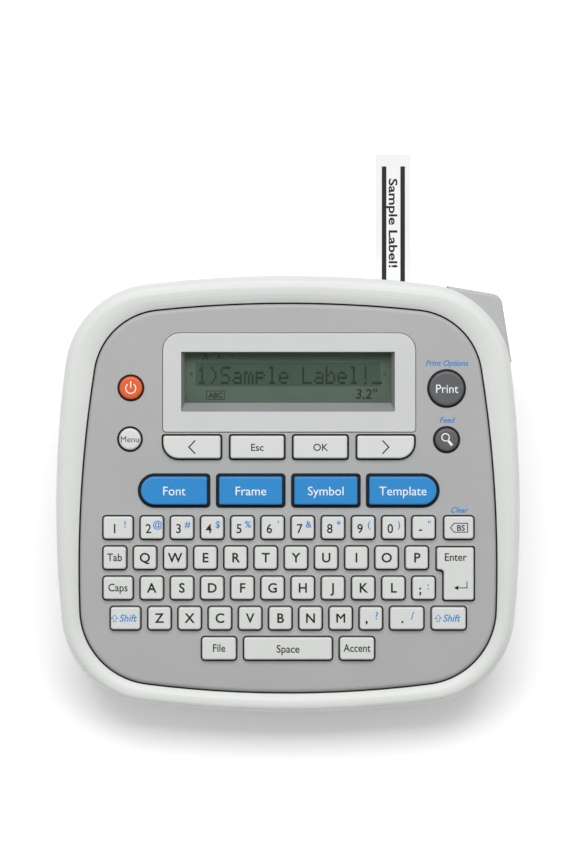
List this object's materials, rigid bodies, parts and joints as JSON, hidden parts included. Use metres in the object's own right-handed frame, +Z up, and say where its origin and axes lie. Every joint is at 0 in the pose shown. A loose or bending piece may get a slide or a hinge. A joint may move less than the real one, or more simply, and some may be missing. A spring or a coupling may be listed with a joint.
{
  "type": "label maker",
  "caption": "Desktop label maker with a sloping keyboard, a display, a tape cassette drive, a side cutter lever and a printed label leaving at the rear.",
  "frame": {"origin": "on the desk, under the middle of the body's footprint", "axes": "+Z up, +Y to the rear where the label leaves, +X to the user's right"},
  "size_m": [0.157, 0.1841, 0.068],
  "materials": {
    "shell_white": "fine moulded texture, satin",
    "panel_grey": "fine matte texture",
    "bezel_grey": "satin",
    "key_white": "satin",
    "key_blue": "satin",
    "key_orange": "satin",
    "key_dark": "satin",
    "window_clear": "clear gloss",
    "lcd_green": "smooth",
    "black_plastic": "matte",
    "mat_rubber": "matte",
    "foot_rubber": "matte",
    "roller_rubber": "matte",
    "board_green": "solder mask",
    "frame_steel": "pressed",
    "blade_steel": "ground",
    "spring_steel": "plain",
    "sink_aluminium": "plain",
    "gear_nylon": "satin",
    "cassette_plastic": "satin",
    "tape_film": "smooth film",
    "lever_grey": "satin",
    "contact_metal": "plated",
    "cell_wrap": "shrink film"
  },
  "bodies": {
    "housing": {"top_case": "shell_white", "base_case": "shell_white", "face_panel": "panel_grey", "display_bezel": "bezel_grey", "display_window": "window_clear", "lcd_glass": "lcd_green", "lcd_frame": "black_plastic", "lcd_ribbon": "cassette_plastic", "keypad_mat": "mat_rubber", "main_board": "board_green", "board_chips": "black_plastic", "mechanism_frame": "frame_steel", "feed_motor": "frame_steel", "cassette_case": "cassette_plastic", "cassette_lid": "cassette_plastic", "inner_tape": "tape_film", "lever_pin": "frame_steel", "fixed_blade": "blade_steel", "lever_spring": "spring_steel", "power_jack": "black_plastic", "case_screws": "frame_steel", "rubber_feet": "foot_rubber", "batteries": "cell_wrap", "battery_contacts": "contact_metal"},
    "platen": {"platen_core": "frame_steel", "platen_rubber": "roller_rubber", "platen_gear": "gear_nylon"},
    "idler": {"idler_gear": "gear_nylon"},
    "pinion": {"motor_pinion": "gear_nylon"},
    "takeup": {"takeup_gear": "gear_nylon", "takeup_spool": "black_plastic"},
    "roll": {"tape_roll": "tape_film"},
    "ribbon": {"ribbon_spool": "black_plastic"},
    "head": {"print_head": "black_plastic", "head_arm": "sink_aluminium"},
    "release": {"release_lever": "lever_grey"},
    "cutter": {"cutter_lever": "lever_grey", "moving_blade": "blade_steel"},
    "label": {"printed_label": "tape_film"},
    "cover": {"rear_cover": "shell_white"},
    "power_button": {"power_button": "key_orange"},
    "menu_button": {"menu_button": "key_white"},
    "print_button": {"print_button": "key_dark"},
    "preview_button": {"preview_button": "key_dark"},
    "left_key": {"left_key": "key_white"},
    "escape_key": {"escape_key": "key_white"},
    "ok_key": {"ok_key": "key_white"},
    "right_key": {"right_key": "key_white"},
    "font_key": {"font_key": "key_blue"},
    "frame_key": {"frame_key": "key_blue"},
    "symbol_key": {"symbol_key": "key_blue"},
    "template_key": {"template_key": "key_blue"},
    "number_keys": {"number_keys": "key_white"},
    "upper_letter_keys": {"upper_letter_keys": "key_white"},
    "home_letter_keys": {"home_letter_keys": "key_white"},
    "lower_letter_keys": {"lower_letter_keys": "key_white"},
    "shortcut_keys": {"shortcut_keys": "key_white"},
    "enter_key": {"enter_key": "key_white"},
    "space_key": {"space_key": "key_white"}
  },
  "joints": [
    {"name": "platen_spin", "type": "hinge", "parent": "housing", "child": "platen", "pos_m": [0.0359, 0.05442, 0.04447], "axis": [1, 0, 0], "continuous": true},
    {"name": "idler_spin", "type": "hinge", "parent": "housing", "child": "idler", "pos_m": [0.0359, 0.04595, 0.03331], "axis": [1, 0, 0], "continuous": true},
    {"name": "pinion_spin", "type": "hinge", "parent": "housing", "child": "pinion", "pos_m": [0.0359, 0.03465, 0.03736], "axis": [1, 0, 0], "continuous": true},
    {"name": "takeup_spin", "type": "hinge", "parent": "housing", "child": "takeup", "pos_m": [0.0359, 0.04641, 0.01832], "axis": [1, 0, 0], "continuous": true},
    {"name": "roll_spin", "type": "hinge", "parent": "housing", "child": "roll", "pos_m": [0.0359, 0.02788, 0.02585], "axis": [1, 0, 0], "continuous": true},
    {"name": "ribbon_spin", "type": "hinge", "parent": "housing", "child": "ribbon", "pos_m": [0.0359, 0.0464, 0.03518], "axis": [1, 0, 0], "continuous": true},
    {"name": "release_turn", "type": "hinge", "parent": "housing", "child": "release", "pos_m": [0.0509, 0.04462, 0.02935], "axis": [1, 0, 0], "range_deg": [0, 30]},
    {"name": "head_lift", "type": "hinge", "parent": "housing", "child": "head", "pos_m": [0.0359, 0.04344, 0.04915], "axis": [1, 0, 0], "range_deg": [0, 6]},
    {"name": "cutter_press", "type": "hinge", "parent": "housing", "child": "cutter", "pos_m": [0.0505, 0.06057, 0.0482], "axis": [0, 0.9511, 0.309], "range_deg": [0, 9], "stiffness_Nm_per_rad": 0.1, "springref_deg": -14.32},
    {"name": "label_out", "type": "slide", "parent": "housing", "child": "label", "axis": [0, 0.9511, 0.309], "range_m": [0, 0.06]},
    {"name": "cover_slide", "type": "slide", "parent": "housing", "child": "cover", "axis": [0, 1, 0], "range_m": [0, 0.08]},
    {"name": "power_button_press", "type": "slide", "parent": "housing", "child": "power_button", "axis": [0, 0.309, -0.9511], "range_m": [0, 0.001], "stiffness_N_per_m": 500, "springref_m": -0.001},
    {"name": "menu_button_press", "type": "slide", "parent": "housing", "child": "menu_button", "axis": [0, 0.309, -0.9511], "range_m": [0, 0.001], "stiffness_N_per_m": 500, "springref_m": -0.001},
    {"name": "print_button_press", "type": "slide", "parent": "housing", "child": "print_button", "axis": [0, 0.309, -0.9511], "range_m": [0, 0.001], "stiffness_N_per_m": 500, "springref_m": -0.001},
    {"name": "preview_button_press", "type": "slide", "parent": "housing", "child": "preview_button", "axis": [0, 0.309, -0.9511], "range_m": [0, 0.001], "stiffness_N_per_m": 500, "springref_m": -0.001},
    {"name": "left_key_press", "type": "slide", "parent": "housing", "child": "left_key", "axis": [0, 0.309, -0.9511], "range_m": [0, 0.001], "stiffness_N_per_m": 500, "springref_m": -0.001},
    {"name": "escape_key_press", "type": "slide", "parent": "housing", "child": "escape_key", "axis": [0, 0.309, -0.9511], "range_m": [0, 0.001], "stiffness_N_per_m": 500, "springref_m": -0.001},
    {"name": "ok_key_press", "type": "slide", "parent": "housing", "child": "ok_key", "axis": [0, 0.309, -0.9511], "range_m": [0, 0.001], "stiffness_N_per_m": 500, "springref_m": -0.001},
    {"name": "right_key_press", "type": "slide", "parent": "housing", "child": "right_key", "axis": [0, 0.309, -0.9511], "range_m": [0, 0.001], "stiffness_N_per_m": 500, "springref_m": -0.001},
    {"name": "font_key_press", "type": "slide", "parent": "housing", "child": "font_key", "axis": [0, 0.309, -0.9511], "range_m": [0, 0.001], "stiffness_N_per_m": 500, "springref_m": -0.001},
    {"name": "frame_key_press", "type": "slide", "parent": "housing", "child": "frame_key", "axis": [0, 0.309, -0.9511], "range_m": [0, 0.001], "stiffness_N_per_m": 500, "springref_m": -0.001},
    {"name": "symbol_key_press", "type": "slide", "parent": "housing", "child": "symbol_key", "axis": [0, 0.309, -0.9511], "range_m": [0, 0.001], "stiffness_N_per_m": 500, "springref_m": -0.001},
    {"name": "template_key_press", "type": "slide", "parent": "housing", "child": "template_key", "axis": [0, 0.309, -0.9511], "range_m": [0, 0.001], "stiffness_N_per_m": 500, "springref_m": -0.001},
    {"name": "number_keys_press", "type": "slide", "parent": "housing", "child": "number_keys", "axis": [0, 0.309, -0.9511], "range_m": [0, 0.001], "stiffness_N_per_m": 500, "springref_m": -0.001},
    {"name": "upper_letter_keys_press", "type": "slide", "parent": "housing", "child": "upper_letter_keys", "axis": [0, 0.309, -0.9511], "range_m": [0, 0.001], "stiffness_N_per_m": 500, "springref_m": -0.001},
    {"name": "home_letter_keys_press", "type": "slide", "parent": "housing", "child": "home_letter_keys", "axis": [0, 0.309, -0.9511], "range_m": [0, 0.001], "stiffness_N_per_m": 500, "springref_m": -0.001},
    {"name": "lower_letter_keys_press", "type": "slide", "parent": "housing", "child": "lower_letter_keys", "axis": [0, 0.309, -0.9511], "range_m": [0, 0.001], "stiffness_N_per_m": 500, "springref_m": -0.001},
    {"name": "shortcut_keys_press", "type": "slide", "parent": "housing", "child": "shortcut_keys", "axis": [0, 0.309, -0.9511], "range_m": [0, 0.001], "stiffness_N_per_m": 500, "springref_m": -0.001},
    {"name": "enter_key_press", "type": "slide", "parent": "housing", "child": "enter_key", "axis": [0, 0.309, -0.9511], "range_m": [0, 0.001], "stiffness_N_per_m": 500, "springref_m": -0.001},
    {"name": "space_key_press", "type": "slide", "parent": "housing", "child": "space_key", "axis": [0, 0.309, -0.9511], "range_m": [0, 0.001], "stiffness_N_per_m": 500, "springref_m": -0.001}
  ],
  "couplings": [
    {"joint": "idler_spin", "follows": "platen_spin", "ratio": -0.55556},
    {"joint": "pinion_spin", "follows": "platen_spin", "ratio": 1.6667},
    {"joint": "takeup_spin", "follows": "platen_spin", "ratio": 0.83333},
    {"joint": "roll_spin", "follows": "platen_spin", "ratio": 0.32374},
    {"joint": "ribbon_spin", "follows": "platen_spin", "ratio": 1.0227},
    {"joint": "head_lift", "follows": "release_turn", "ratio": 0.2}
  ]
}
